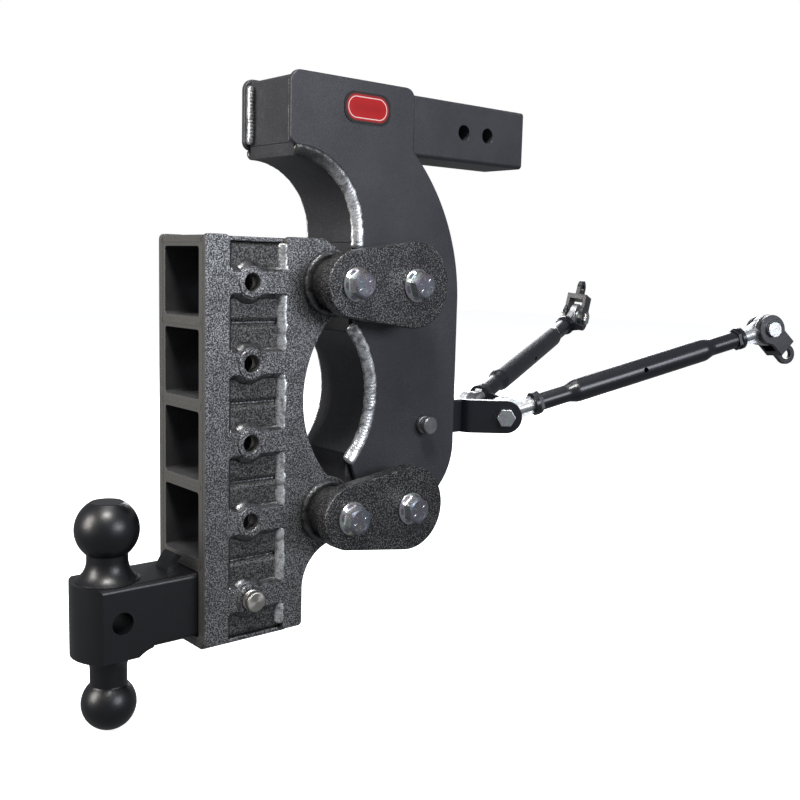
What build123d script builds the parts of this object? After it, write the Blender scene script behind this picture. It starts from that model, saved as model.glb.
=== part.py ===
"""Weight distribution hitch: a torsion drop hitch with five stacked receivers, a double ball
mount, parallel links on rubber torsion axles, and a two-arm stabilizer pinned into its back.

Millimetres, +Z up, +X towards the vehicle. The origin is the centre of the shank's outer pin hole.
Outlines are drawn on side(y): local x runs from the front face of the receiver stack, and local y
is the height above the centre of its lowest receiver.
"""
from math import cos, radians, sin
import os

from build123d import *

os.makedirs("parts", exist_ok=True)

# ---- driving dimensions -------------------------------------------------------------------
FRONT = -364.0          # X of the stack's front face
LOW = -470.0            # Z of the lowest receiver's centre
RECEIVERS = 5
PITCH = 76.2            # receiver to receiver
TUBE = 76.2             # outside of a receiver tube, and the gap between the side plates
OPENING = 64.0          # inside of a receiver tube, for a 63.5 mm (2-1/2 in) shank
PLATE = 6.35            # side plate thickness
PIN_HOLE = 16.7         # holes for 15.9 mm (5/8 in) pins
PIN_X = 49.3            # pin hole from the stack's front face
HALF = TUBE / 2         # inner face of every side plate
FACE = HALF + PLATE     # outer face of every side plate

SHANK = 63.5
SHANK_Z = 470.0
SHANK_END = 421.6
SHANK_HOLES = (327.7, 364.0)

LINK_FRONT_X = 139.0    # torsion axles in the stack
LINK_REAR_X = 215.2     # torsion axles in the shank frame
LINK_Z = (76.2, 304.8)
LINK_INNER = 74.0       # inner face of a link, from the middle
LINK_THICK = 14.0
AXLE_OD = 50.8
AXLE_ID = 40.0
AXLE_END = 73.5
NOSE = 34.5             # radius of the stack plates round their axles
REAR_NOSE = 36.0        # radius of the frame plates round their axles

STAB_X = 267.5          # stabilizer pin
STAB_Z = 154.0
STAB_TUBE = 38.1


def side(y):
    """Plane across the hitch at y, facing -Y."""
    return Plane(origin=(FRONT, y, LOW), x_dir=(1, 0, 0), z_dir=(0, -1, 0))


def save(part, name):
    """Name a piece and write its STEP file."""
    part.label = name
    export_step(part, f"parts/{name}.step")


def group(parts, name):
    """Write several like pieces as one named file."""
    save(Compound(children=list(parts)), name)


def rod(x, z, radius, y_from, y_to):
    """A round bar along Y, from y_from down to y_to."""
    with BuildPart() as bar:
        with BuildSketch(side(y_from)):
            with Locations((x, z)):
                Circle(radius)
        extrude(amount=y_from - y_to)
    return bar.part


def round_nose(x, z, radius, angle):
    """Point on a circle round an axle, in the local axes of side(y), at an angle in degrees."""
    return x + radius * cos(radians(angle)), z + radius * sin(radians(angle))


def mirrored(part):
    """The same piece on the other side of the hitch."""
    return part.mirror(Plane.XZ)


# ---- shank frame: side plates -------------------------------------------------------------
FRAME_TOP = 505.0
FRAME_FRONT = 91.3
FRAME_BACK = 314.5
UPPER_ARC = (100.5, 356.0)      # centre of the upper hollow
UPPER_R = 79.0
LOWER_ARC = (96.0, 193.0)       # centre of the lower hollow
LOWER_R = 105.0
LOWER_HALF = 73.8               # half height of the lower hollow's arc
PROUD = 9.5                     # how far the curved plates stand out of the side plates
UPPER_LEFT = UPPER_ARC[0] + UPPER_R
LOWER_LEFT = LOWER_ARC[0] + (LOWER_R ** 2 - LOWER_HALF ** 2) ** 0.5

with BuildPart() as shank_plate_near:
    with BuildSketch(side(-HALF)) as outline:
        with BuildLine():
            Polyline(
                (UPPER_ARC[0], FRAME_TOP - 70),
                (FRAME_FRONT, FRAME_TOP - 70),
                (FRAME_FRONT, FRAME_TOP),
                (244.7, FRAME_TOP),
                (244.7, 442),
            )
            ThreePointArc((244.7, 442), (290.5, 383), (FRAME_BACK, 290))
            Line((FRAME_BACK, 290), (FRAME_BACK, 135))
            ThreePointArc((FRAME_BACK, 135), (305.5, 96), (284, 73))
            Line((284, 73), round_nose(LINK_REAR_X, LINK_Z[0], REAR_NOSE, -50))
            ThreePointArc(
                round_nose(LINK_REAR_X, LINK_Z[0], REAR_NOSE, -50),
                round_nose(LINK_REAR_X, LINK_Z[0], REAR_NOSE, -115),
                (LINK_REAR_X - REAR_NOSE, LINK_Z[0]),
            )
            Polyline(
                (LINK_REAR_X - REAR_NOSE, LINK_Z[0]),
                (LINK_REAR_X - REAR_NOSE, LINK_Z[0] + 22),
                (LOWER_LEFT, LOWER_ARC[1] - LOWER_HALF),
            )
            ThreePointArc(
                (LOWER_LEFT, LOWER_ARC[1] - LOWER_HALF),
                (LOWER_ARC[0] + LOWER_R, LOWER_ARC[1]),
                (LOWER_LEFT, LOWER_ARC[1] + LOWER_HALF),
            )
            Polyline(
                (LOWER_LEFT, LOWER_ARC[1] + LOWER_HALF),
                (LINK_REAR_X - REAR_NOSE, LINK_Z[1] - 22),
                (LINK_REAR_X - REAR_NOSE, LINK_Z[1]),
                (UPPER_LEFT, UPPER_ARC[1]),
            )
            ThreePointArc(
                (UPPER_LEFT, UPPER_ARC[1]),
                round_nose(*UPPER_ARC, UPPER_R, 45),
                (UPPER_ARC[0], UPPER_ARC[1] + UPPER_R),
            )
        make_face()
        front_corners = outline.vertices().group_by(Axis.X)[0].sort_by(Axis.Y)
        fillet(front_corners[0], 8.5)
        fillet(outline.vertices().group_by(Axis.Y)[-1], 11)
        with Locations(*[(LINK_REAR_X, z) for z in LINK_Z]):
            Circle(AXLE_OD / 2, mode=Mode.SUBTRACT)
        with Locations((STAB_X, STAB_Z)):
            Circle(PIN_HOLE / 2, mode=Mode.SUBTRACT)
    extrude(amount=PLATE)
save(shank_plate_near.part, "shank_plate_near")
save(mirrored(shank_plate_near.part), "shank_plate_far")

# ---- shank frame: shank, spacers, covers --------------------------------------------------
BOX_FRONT = 107.5       # back of the front cover
BOX_BACK = 244.0        # where the shank leaves the frame

with BuildPart() as shank_bar:
    with BuildSketch(Plane.YZ.offset(FRONT + BOX_FRONT)):
        with Locations((0, LOW + SHANK_Z)):
            RectangleRounded(SHANK, SHANK, 4.5)
    extrude(amount=SHANK_END - BOX_FRONT)
    chamfer(shank_bar.faces().sort_by(Axis.X)[-1].edges(), 1.2)
    with BuildSketch(side(SHANK / 2)):
        with Locations(*[(x, SHANK_Z) for x in SHANK_HOLES]):
            Circle(PIN_HOLE / 2)
    extrude(amount=SHANK, mode=Mode.SUBTRACT)
save(shank_bar.part, "shank_bar")

with BuildPart() as spacer_bar:
    with BuildSketch(side(-SHANK / 2)):
        with Locations(((BOX_FRONT + BOX_BACK) / 2, SHANK_Z)):
            Rectangle(BOX_BACK - BOX_FRONT, 52)
    extrude(amount=HALF - SHANK / 2)
group([spacer_bar.part, mirrored(spacer_bar.part)], "shank_spacer_bars")

with BuildPart() as front_cover:
    with BuildSketch(side(HALF)):
        with Locations((BOX_FRONT - 4.75, (SHANK_Z - SHANK / 2 + FRAME_TOP - 3) / 2)):
            Rectangle(9.5, FRAME_TOP - 3 - SHANK_Z + SHANK / 2)
    extrude(amount=TUBE)
    fillet(front_cover.faces().sort_by(Axis.X)[0].edges().filter_by(Axis.Y).sort_by(Axis.Z)[-1], 3)
save(front_cover.part, "front_cover_plate")

with BuildPart() as top_cover:
    with BuildSketch(side(HALF)):
        with Locations(((BOX_FRONT + BOX_BACK) / 2, (SHANK_Z + SHANK / 2 + FRAME_TOP - 0.5) / 2)):
            Rectangle(BOX_BACK - BOX_FRONT, FRAME_TOP - 0.5 - SHANK_Z - SHANK / 2)
    extrude(amount=TUBE)
save(top_cover.part, "top_cover_plate")

# ---- shank frame: curved plates between the sides -----------------------------------------
CURVED = 12.75          # thickness of the curved front plates
upper_mid = UPPER_R - PROUD + CURVED / 2
lower_mid = LOWER_R - PROUD + CURVED / 2
lower_reach = 63.0      # half height of the lower curved plate

with BuildPart() as upper_curve_plate:
    with BuildSketch(side(HALF)):
        with BuildLine() as path:
            Line((98, UPPER_ARC[1] + upper_mid), (UPPER_ARC[0], UPPER_ARC[1] + upper_mid))
            CenterArc(UPPER_ARC, upper_mid, 90, -90)
            Line((UPPER_ARC[0] + upper_mid, UPPER_ARC[1]), (UPPER_ARC[0] + upper_mid, UPPER_ARC[1] - 10))
        trace(path.line, line_width=CURVED)
    extrude(amount=TUBE)
save(upper_curve_plate.part, "upper_curve_plate")

with BuildPart() as lower_curve_plate:
    with BuildSketch(side(HALF)):
        with Locations(LOWER_ARC):
            Circle(lower_mid + CURVED / 2)
            Circle(lower_mid - CURVED / 2, mode=Mode.SUBTRACT)
            with Locations((150, 0)):
                Rectangle(300, 2 * lower_reach, mode=Mode.INTERSECT)
    extrude(amount=TUBE)
save(lower_curve_plate.part, "lower_curve_plate")

CLOSER_WIDTH = TUBE - 1.2       # clear of the stack plates' noses, which pass beside it
CLOSER_THICK = 9.5
closer_x = LOWER_ARC[0] + ((LOWER_R - PROUD) ** 2 - lower_reach ** 2) ** 0.5
closers = []
for x, z_from, z_to in (
    (UPPER_ARC[0] + UPPER_R - PROUD, LINK_Z[1] + 20, UPPER_ARC[1] - 10),
    (closer_x, LOWER_ARC[1] + lower_reach, LINK_Z[1] - 20),
    (closer_x, LINK_Z[0] + 20, LOWER_ARC[1] - lower_reach),
):
    with BuildPart() as closer:
        with BuildSketch(side(CLOSER_WIDTH / 2)):
            with Locations((x + CLOSER_THICK / 2 + 0.5, (z_from + z_to) / 2)):
                Rectangle(CLOSER_THICK, z_to - z_from)
        extrude(amount=CLOSER_WIDTH)
    closers.append(closer.part)
group(closers, "axle_closing_plates")

BACK_THICK = 9.5
back_mid = BACK_THICK / 2 + 2
with BuildPart() as back_curve_plate:
    with BuildSketch(side(HALF)):
        with BuildLine() as path:
            ThreePointArc((243.5, 432), (284, 380.5), (FRAME_BACK - back_mid, 290))
            Line((FRAME_BACK - back_mid, 290), (FRAME_BACK - back_mid, 135))
            ThreePointArc((FRAME_BACK - back_mid, 135), (299, 98.5), (280, 79))
        trace(path.line, line_width=BACK_THICK)
    extrude(amount=TUBE)
    with BuildSketch(Plane.YZ.offset(FRONT + FRAME_BACK - 20)):
        with Locations((0, LOW + STAB_Z)):
            Rectangle(STAB_TUBE + 0.8, STAB_TUBE + 0.8)
    extrude(amount=20, mode=Mode.SUBTRACT)
save(back_curve_plate.part, "back_curve_plate")

# ---- shank frame: socket for the stabilizer -----------------------------------------------
SOCKET_FRONT = 240.0
SOCKET_BACK = 300.0
with BuildPart() as stabilizer_socket:
    with BuildSketch(Plane.YZ.offset(FRONT + SOCKET_FRONT)):
        with Locations((0, LOW + STAB_Z)):
            Rectangle(TUBE, 58)
            Rectangle(STAB_TUBE + 0.8, STAB_TUBE + 0.8, mode=Mode.SUBTRACT)
    extrude(amount=SOCKET_BACK - SOCKET_FRONT)
    with BuildSketch(side(HALF)):
        with Locations((STAB_X, STAB_Z)):
            Circle(PIN_HOLE / 2)
    extrude(amount=TUBE, mode=Mode.SUBTRACT)
save(stabilizer_socket.part, "stabilizer_socket")

# ---- badge: plain rounded plate -----------------------------------------------------------
with BuildPart() as name_badge:
    with BuildSketch(side(-FACE)):
        with Locations((182, 478)):
            RectangleRounded(58, 30, 12)
    extrude(amount=0.8)
save(name_badge.part, "badge")


# ---- torsion axles: tube, bushings and cords of one axle ----------------------------------
BAR_SQUARE = 24.0
BOLT_R = 8.0
BOLT_DEEP = 24.0                        # thread depth in a torsion bar
JOURNAL_R = 15.0
JOURNAL_FROM = 52.0                     # round ends of a torsion bar start here
BUSH_BORE_R = JOURNAL_R + 0.05
OPEN_JOURNAL_R = JOURNAL_R - 0.35       # the lower front axle, where the linkage closes
CORD_R = 3.6
CORD_GAP = 0.6                          # room for the bar to turn between the cords


def axle_tube(x, z):
    with BuildPart() as tube:
        with BuildSketch(side(AXLE_END)):
            with Locations((x, z)):
                Circle(AXLE_OD / 2)
                Circle(AXLE_ID / 2, mode=Mode.SUBTRACT)
        extrude(amount=2 * AXLE_END)
    return tube.part


def axle_bushings(x, z, bore_r):
    with BuildPart() as near:
        with BuildSketch(side(-JOURNAL_FROM - 3)):
            with Locations((x, z)):
                Circle(AXLE_ID / 2)
                Circle(bore_r, mode=Mode.SUBTRACT)
        extrude(amount=AXLE_END - JOURNAL_FROM - 3)
    return [near.part, mirrored(near.part)]


def axle_cords(x, z):
    away = BAR_SQUARE / 2 + CORD_R + CORD_GAP
    spots = [(x + away, z), (x - away, z), (x, z + away), (x, z - away)]
    return [rod(cx, cz, CORD_R, JOURNAL_FROM - 3, 3 - JOURNAL_FROM) for cx, cz in spots]


def axle_bar(x, z, journal_r):
    """Square bar with round ends, drilled for the link bolts."""
    with BuildPart() as bar:
        with BuildSketch(side(JOURNAL_FROM)):
            with Locations((x, z)):
                Rectangle(BAR_SQUARE, BAR_SQUARE)
        extrude(amount=2 * JOURNAL_FROM)
        with BuildSketch(side(LINK_INNER), side(-JOURNAL_FROM)):
            with Locations((x, z)):
                Circle(journal_r)
        extrude(amount=LINK_INNER - JOURNAL_FROM)
        with BuildSketch(side(LINK_INNER), side(BOLT_DEEP - LINK_INNER)):
            with Locations((x, z)):
                Circle(BOLT_R)
        extrude(amount=BOLT_DEEP, mode=Mode.SUBTRACT)
    return bar.part


group([axle_tube(LINK_REAR_X, z) for z in LINK_Z], "frame_torsion_tubes")
group([axle_tube(LINK_FRONT_X, z) for z in LINK_Z], "stack_torsion_tubes")
group([b for z in LINK_Z for b in axle_bushings(LINK_REAR_X, z, BUSH_BORE_R)], "frame_bushings")
group([b for z in LINK_Z for b in axle_bushings(LINK_FRONT_X, z, BUSH_BORE_R)], "stack_bushings")
group([c for z in LINK_Z for c in axle_cords(LINK_REAR_X, z)], "frame_rubber_cords")
group([c for z in LINK_Z for c in axle_cords(LINK_FRONT_X, z)], "stack_rubber_cords")
upper_bars = [axle_bar(x, LINK_Z[1], JOURNAL_R) for x in (LINK_FRONT_X, LINK_REAR_X)]
group(upper_bars, "upper_torsion_bars")
lower_bars = [axle_bar(LINK_FRONT_X, LINK_Z[0], OPEN_JOURNAL_R), axle_bar(LINK_REAR_X, LINK_Z[0], JOURNAL_R)]
group(lower_bars, "lower_torsion_bars")

# ---- links and their flange bolts ---------------------------------------------------------
LINK_FRONT_R = 32.5
LINK_REAR_R = 43.5
FLANGE_R = 16.5
FLANGE_THICK = 4.5
HEAD_AF = 24.0          # across the flats
HEAD_TALL = 14.0        # flange seat to the head's chamfer


def link(z):
    with BuildPart() as plate:
        with BuildSketch(side(-LINK_INNER)):
            with Locations((LINK_FRONT_X, z)):
                Circle(LINK_FRONT_R)
            with Locations((LINK_REAR_X, z)):
                Circle(LINK_REAR_R)
            make_hull()
            with Locations((LINK_FRONT_X, z), (LINK_REAR_X, z)):
                Circle(BOLT_R + 0.3, mode=Mode.SUBTRACT)
        extrude(amount=LINK_THICK)
        fillet(plate.faces().sort_by(Axis.Y)[0].outer_wire().edges(), 1.5)
    return plate.part


def flange_bolt(x, z):
    """Hex flange bolt, head outwards on the near side."""
    start = LINK_INNER + LINK_THICK
    with BuildPart() as bolt:
        with BuildSketch(side(-start)):
            with Locations((x, z)):
                Circle(FLANGE_R)
        extrude(amount=FLANGE_THICK, taper=20)
        with BuildSketch(side(-start - 1)):
            with Locations((x, z)):
                RegularPolygon(HEAD_AF / 2, 6, major_radius=False, rotation=20)
        extrude(amount=HEAD_TALL - 1)
        with BuildSketch(side(-start - HEAD_TALL)):
            with Locations((x, z)):
                Circle(HEAD_AF / 2 * 0.97)
        extrude(amount=0.6, taper=45)
        with BuildSketch(side(BOLT_DEEP - LINK_INNER)):
            with Locations((x, z)):
                Circle(BOLT_R)
        extrude(amount=BOLT_DEEP + LINK_THICK)
    return bolt.part


for z, name in zip(LINK_Z, ("lower", "upper")):
    near_link = link(z)
    save(near_link, f"{name}_link_near")
    save(mirrored(near_link), f"{name}_link_far")
    near_bolts = [flange_bolt(x, z) for x in (LINK_FRONT_X, LINK_REAR_X)]
    group(near_bolts + [mirrored(b) for b in near_bolts], f"{name}_link_bolts")

# ---- receiver stack: side plates ----------------------------------------------------------
STACK_TOP = 348.5
STACK_FOOT = -39.0
WINDOW_FRONT = 25.4
WINDOW_BACK = 88.0
BAR_HALF = 10.3         # half height of the bars that carry the pin holes
RING_R = 15.4
HOLES = [(PIN_X, i * PITCH) for i in range(RECEIVERS)]
HOLLOW = (227.5, 190.5)         # centre of the hollow in the back edge
HOLLOW_R = 118.0
NOSE_CUT = 86                   # degrees round a nose to where the hollow starts
SHOULDER = 131.5                # where the top edge slopes down to the upper nose
WINDOW_X = (WINDOW_FRONT + WINDOW_BACK) / 2
WINDOW_WIDE = WINDOW_BACK - WINDOW_FRONT
COLUMN_BACK = 110.7

with BuildPart() as stack_plate_near:
    with BuildSketch(side(-HALF)) as outline:
        with BuildLine():
            Polyline(
                (COLUMN_BACK, 0),
                (COLUMN_BACK, STACK_FOOT),
                (0, STACK_FOOT),
                (0, STACK_TOP),
                (SHOULDER, STACK_TOP),
                round_nose(LINK_FRONT_X, LINK_Z[1], NOSE, 60),
            )
            ThreePointArc(
                round_nose(LINK_FRONT_X, LINK_Z[1], NOSE, 60),
                round_nose(LINK_FRONT_X, LINK_Z[1], NOSE, 0),
                round_nose(LINK_FRONT_X, LINK_Z[1], NOSE, -NOSE_CUT),
            )
            ThreePointArc(
                round_nose(LINK_FRONT_X, LINK_Z[1], NOSE, -NOSE_CUT),
                (HOLLOW[0] - HOLLOW_R, HOLLOW[1]),
                round_nose(LINK_FRONT_X, LINK_Z[0], NOSE, NOSE_CUT),
            )
            ThreePointArc(
                round_nose(LINK_FRONT_X, LINK_Z[0], NOSE, NOSE_CUT),
                round_nose(LINK_FRONT_X, LINK_Z[0], NOSE, 0),
                round_nose(LINK_FRONT_X, LINK_Z[0], NOSE, -80),
            )
            ThreePointArc(round_nose(LINK_FRONT_X, LINK_Z[0], NOSE, -80), (121.5, 28), (COLUMN_BACK, 0))
        make_face()
        with Locations(*[(WINDOW_X, (i - 0.5) * PITCH) for i in range(RECEIVERS + 1)]):
            RectangleRounded(WINDOW_WIDE, PITCH - 2 * BAR_HALF, 5, mode=Mode.SUBTRACT)
        with Locations((WINDOW_X, STACK_TOP), (WINDOW_X, STACK_FOOT)):
            Rectangle(WINDOW_WIDE, 34, mode=Mode.SUBTRACT)
        fillet(outline.vertices().group_by(Axis.Y)[-1], 5)
        fillet(outline.vertices().group_by(Axis.Y)[0], 4)
        with Locations(*HOLES):
            Circle(RING_R)
            Circle(PIN_HOLE / 2, mode=Mode.SUBTRACT)
        with Locations(*[(LINK_FRONT_X, z) for z in LINK_Z]):
            Circle(AXLE_OD / 2, mode=Mode.SUBTRACT)
    extrude(amount=PLATE)
save(stack_plate_near.part, "stack_plate_near")
save(mirrored(stack_plate_near.part), "stack_plate_far")

# ---- receiver stack: tubes, caps, back plate, rings ---------------------------------------
TUBE_LENGTH = 95.0
TUBE_CORNER = 6.0

receivers = []
for level in range(RECEIVERS):
    with BuildPart() as receiver:
        with BuildSketch(Plane.YZ.offset(FRONT)):
            with Locations((0, LOW + level * PITCH)):
                RectangleRounded(TUBE, TUBE, TUBE_CORNER)
                RectangleRounded(OPENING, OPENING, 3, mode=Mode.SUBTRACT)
        extrude(amount=TUBE_LENGTH)
        with BuildSketch(side(HALF)):
            with Locations((PIN_X, level * PITCH)):
                Circle(PIN_HOLE / 2)
        extrude(amount=TUBE, mode=Mode.SUBTRACT)
    receivers.append(receiver.part)
group(receivers, "receiver_tubes")

CAP = 4.3
caps = []
for base in (-HALF - CAP, HALF + (RECEIVERS - 1) * PITCH):
    with BuildPart() as cap_plate:
        with BuildSketch(Plane.XY.offset(LOW + base)):
            with Locations((FRONT + TUBE_LENGTH / 2, 0)):
                Rectangle(TUBE_LENGTH, TUBE)
        extrude(amount=CAP)
    caps.append(cap_plate.part)
group(caps, "stack_cap_plates")

with BuildPart() as stack_back_plate:
    with BuildSketch(side(HALF)):
        with Locations(HOLLOW):
            Circle(HOLLOW_R + 9.5)
            Circle(HOLLOW_R, mode=Mode.SUBTRACT)
            with Locations((-150, 0)):
                Rectangle(300, 140, mode=Mode.INTERSECT)
    extrude(amount=TUBE)
save(stack_back_plate.part, "stack_back_plate")

RING_PROUD = 1.5
with BuildPart() as rings:
    with BuildSketch(side(-FACE)):
        with Locations(*HOLES):
            Circle(RING_R - 0.8)
            Circle(PIN_HOLE / 2, mode=Mode.SUBTRACT)
    extrude(amount=RING_PROUD, taper=12)
group([rings.part, mirrored(rings.part)], "pin_hole_rings")


# ---- weld beads ---------------------------------------------------------------------------
def ring_bead(x, z):
    """Fillet bead round an axle tube where it leaves the near side plate."""
    tube_r = AXLE_OD / 2
    with BuildPart() as bead:
        with BuildSketch(Plane(origin=(FRONT + x, 0, LOW + z), x_dir=(1, 0, 0), z_dir=(0, 0, 1))):
            with BuildLine():
                Polyline((tube_r + 5, -FACE), (tube_r, -FACE), (tube_r, -FACE - 6))
                ThreePointArc((tube_r, -FACE - 6), (tube_r + 4, -FACE - 4), (tube_r + 5, -FACE))
            make_face()
        revolve(axis=Axis((FRONT + x, 0, LOW + z), (0, 1, 0)))
    return bead.part


def hollow_bead(centre, radius, start, arc):
    """Bead in the corner between a side plate's curved edge and the proud curved plate."""
    x, z = FRONT + centre[0], LOW + centre[1]
    outwards = (cos(radians(start)), 0, sin(radians(start)))
    onwards = (-sin(radians(start)), 0, cos(radians(start)))
    with BuildPart() as bead:
        with BuildSketch(Plane(origin=(x, 0, z), x_dir=outwards, z_dir=onwards)):
            with BuildLine():
                Polyline((radius - 8.5, -HALF), (radius, -HALF), (radius, -FACE + 0.3))
                ThreePointArc((radius, -FACE + 0.3), (radius - 5.5, -FACE + 1.2), (radius - 8.5, -HALF))
            make_face()
        revolve(axis=Axis((x, 0, z), (0, -1, 0)), revolution_arc=arc)
    return bead.part


def straight_bead(x, z_from, z_to, width, depth):
    """Upright bead in the corner in front of a near plate edge at x, on a surface at -HALF."""
    with BuildPart() as bead:
        with BuildSketch(Plane.XY.offset(LOW + z_from)):
            with BuildLine():
                Polyline((FRONT + x - width, -HALF), (FRONT + x, -HALF), (FRONT + x, -HALF - depth))
                ThreePointArc((FRONT + x, -HALF - depth), (FRONT + x - width * 0.6, -HALF - depth * 0.75),
                              (FRONT + x - width, -HALF))
            make_face()
        extrude(amount=z_to - z_from)
    return bead.part


near_frame = [ring_bead(LINK_REAR_X, z) for z in LINK_Z]
near_frame.append(hollow_bead(UPPER_ARC, UPPER_R, 0, 90))
near_frame.append(hollow_bead(LOWER_ARC, LOWER_R, -38, 76))
with BuildPart() as cover_bead:
    with BuildSketch(Plane.XY.offset(LOW + 440)):
        with BuildLine():
            Polyline((FRONT + 98, -HALF + 8), (FRONT + 98, -HALF), (FRONT + 92.2, -HALF))
            ThreePointArc((FRONT + 92.2, -HALF), (FRONT + 94, -HALF + 5.5), (FRONT + 98, -HALF + 8))
        make_face()
    extrude(amount=58)
near_frame.append(cover_bead.part)
group(near_frame + [mirrored(b) for b in near_frame], "frame_weld_beads")

near_stack = [ring_bead(LINK_FRONT_X, z) for z in LINK_Z]
for level in range(RECEIVERS + 1):
    low = max((level - 1) * PITCH + BAR_HALF + 5.1, STACK_FOOT + 8)
    high = min(level * PITCH - BAR_HALF - 5.1, STACK_TOP - 12)
    near_stack.append(straight_bead(WINDOW_BACK, low, high, 11, 5.4))
for level in range(RECEIVERS - 1):
    with BuildPart() as groove:
        with BuildSketch(Plane.YZ.offset(FRONT + WINDOW_FRONT + 1)):
            with Locations((-HALF + 2.6, LOW + (level + 0.5) * PITCH)):
                Rectangle(3.4, 12)
        extrude(amount=WINDOW_BACK - WINDOW_FRONT - 13)
    near_stack.append(groove.part - receivers[level] - receivers[level + 1])
group(near_stack + [mirrored(b) for b in near_stack], "stack_weld_beads")

# ---- ball mount ---------------------------------------------------------------------------
BALL_X = -76.0
BLOCK_TOP = 31.5
BLOCK_FOOT = -38.0
MOUNT_HALF = 31.5
BIG_BALL_R = 29.4       # 2-5/16 in
BIG_BALL_TIP = 25.6     # ball centre to its worn flat
BIG_BALL_Z = 78.4
SMALL_BALL_R = 25.4     # 2 in
SMALL_BALL_TIP = 25.0
SMALL_BALL_Z = -87.0
CROSS_HOLE_R = 10.3

with BuildPart() as ball_mount:
    with BuildSketch(side(MOUNT_HALF)):
        with BuildLine():
            Polyline((-60, BLOCK_FOOT), (-112, BLOCK_FOOT), (-112, BLOCK_TOP), (-30, BLOCK_TOP), (-30, 0),
                     (-46, -BLOCK_TOP))
            ThreePointArc((-46, -BLOCK_TOP), (-54, -34), (-60, BLOCK_FOOT))
        make_face()
    extrude(amount=2 * MOUNT_HALF)
    fillet(ball_mount.edges().filter_by(Axis.X).group_by(Axis.Z)[-1], 5)
    with BuildSketch(Plane.XY.offset(LOW - 60)):
        with Locations((FRONT - 70, 0)):
            Circle(40)
        with Locations((FRONT + 12, 0)):
            Rectangle(164, 2 * MOUNT_HALF)
    extrude(amount=120, mode=Mode.INTERSECT)
    with BuildSketch(Plane.YZ.offset(FRONT - 58)):
        with Locations((0, LOW)):
            RectangleRounded(2 * MOUNT_HALF, 2 * BLOCK_TOP, 5)
    extrude(amount=84 + 58)
    with BuildSketch(side(MOUNT_HALF)):
        with Locations((BALL_X, -2.5)):
            Circle(CROSS_HOLE_R)
        with Locations((PIN_X, 0)):
            Circle(PIN_HOLE / 2)
    extrude(amount=2 * MOUNT_HALF, mode=Mode.SUBTRACT)
    with BuildSketch(side(11.5)):
        with BuildLine():
            Line((-22, BLOCK_TOP - 1), (-14.5, BLOCK_TOP - 1))
            ThreePointArc((-14.5, BLOCK_TOP - 1), (-12, 38), (-6, 44))
            Line((-6, 44), (-11.5, 47))
            ThreePointArc((-11.5, 47), (-18.5, 39), (-22, BLOCK_TOP - 1))
        make_face()
    extrude(amount=23)
save(ball_mount.part, "ball_mount_block")


def ball(centre_z, radius, tip, neck_r, base_r, base_z, flare_z):
    """A tow ball with a flat tip, on a neck that flares where it meets the block."""
    up = 1 if centre_z > 0 else -1
    neck_z = centre_z - up * (radius ** 2 - neck_r ** 2) ** 0.5
    tip_z = centre_z + up * tip
    tip_r = (radius ** 2 - tip ** 2) ** 0.5
    with BuildPart() as whole:
        with BuildSketch(Plane(origin=(FRONT + BALL_X, 0, LOW), x_dir=(1, 0, 0), z_dir=(0, -1, 0))):
            with BuildLine():
                Polyline((tip_r, tip_z), (0, tip_z), (0, base_z), (base_r, base_z))
                TangentArc((base_r, base_z), (neck_r, flare_z), tangent=(-1, up * 0.55))
                Line((neck_r, flare_z), (neck_r, neck_z))
                ThreePointArc((neck_r, neck_z), (radius, centre_z), (tip_r, tip_z))
            make_face()
        revolve(axis=Axis((FRONT + BALL_X, 0, LOW), (0, 0, 1)))
    return whole.part


save(ball(BIG_BALL_Z, BIG_BALL_R, BIG_BALL_TIP, 18.8, 30.0, BLOCK_TOP, 50.0), "tow_ball_large")
save(ball(SMALL_BALL_Z, SMALL_BALL_R, SMALL_BALL_TIP, 17.0, 26.0, BLOCK_FOOT, -53.0), "tow_ball_small")

# ---- hitch pin and its lock ---------------------------------------------------------------
PIN_R = 7.94
PIN_HEAD_R = 10.0
PIN_SEAT = -(FACE + RING_PROUD + 0.45)      # where the head starts, just clear of the near ring
PIN_TIP = FACE + 21.55
with BuildPart() as hitch_pin:
    with BuildSketch(Plane(origin=(FRONT + PIN_X, 0, LOW), x_dir=(1, 0, 0), z_dir=(0, 0, 1))):
        with BuildLine():
            Polyline(
                (0, PIN_TIP), (PIN_R - 1.5, PIN_TIP), (PIN_R, PIN_TIP - 1.5), (PIN_R, PIN_SEAT),
                (PIN_HEAD_R - 0.5, PIN_SEAT), (PIN_HEAD_R, PIN_SEAT - 0.6), (PIN_HEAD_R, PIN_SEAT - 2.2),
                (PIN_HEAD_R - 1.6, PIN_SEAT - 2.8), (PIN_HEAD_R - 1.6, PIN_SEAT - 4.8),
                (PIN_HEAD_R, PIN_SEAT - 5.4), (PIN_HEAD_R, PIN_SEAT - 9.4),
                (PIN_HEAD_R - 1.2, PIN_SEAT - 10.6), (0, PIN_SEAT - 10.6), (0, PIN_TIP),
            )
        make_face()
    revolve(axis=Axis((FRONT + PIN_X, 0, LOW), (0, 1, 0)))
save(hitch_pin.part, "hitch_pin")

with BuildPart() as pin_lock:
    with BuildSketch(side(72)):
        with Locations((PIN_X, 0)):
            Circle(14)
    extrude(amount=24)
    fillet(pin_lock.faces().filter_by(Axis.Y).edges(), 2)
    with BuildSketch(side(68)):
        with Locations((PIN_X, 0)):
            Circle(PIN_R + 0.3)
    extrude(amount=24, mode=Mode.SUBTRACT)
save(pin_lock.part, "pin_lock")

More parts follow.
